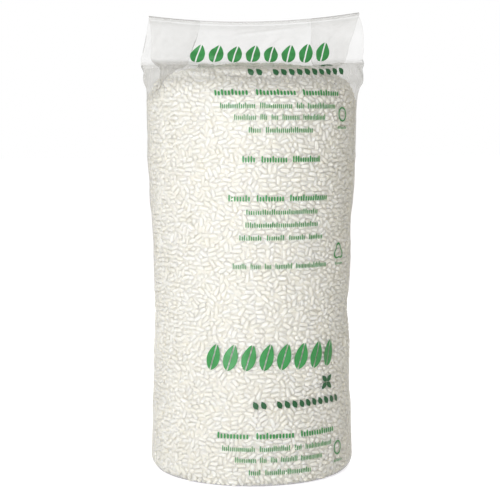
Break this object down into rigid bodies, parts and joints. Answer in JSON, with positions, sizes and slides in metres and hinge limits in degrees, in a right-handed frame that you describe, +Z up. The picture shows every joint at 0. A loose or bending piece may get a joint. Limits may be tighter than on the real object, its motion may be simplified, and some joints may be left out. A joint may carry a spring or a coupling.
{
  "type": "filled bag of loose-fill packing peanuts",
  "caption": "Tall round-bodied side-gusseted bag of clear film filled with cream foam packing peanuts, closed by a straight heat seal across its folded top, standing on a flat base",
  "frame": {"origin": "middle of the flat base, on the floor", "axes": "+Z up towards the seal; -Y out of the front panel; X along the seal"},
  "size_m": [0.7312, 0.7028, 1.5399],
  "materials": {
    "clear_film": "clear, slightly hazy polyethylene film",
    "starch_foam": "matt extruded starch foam"
  },
  "bodies": {
    "root": {"film_bag": "clear_film", "peanut_fill": "starch_foam"}
  },
  "joints": []
}
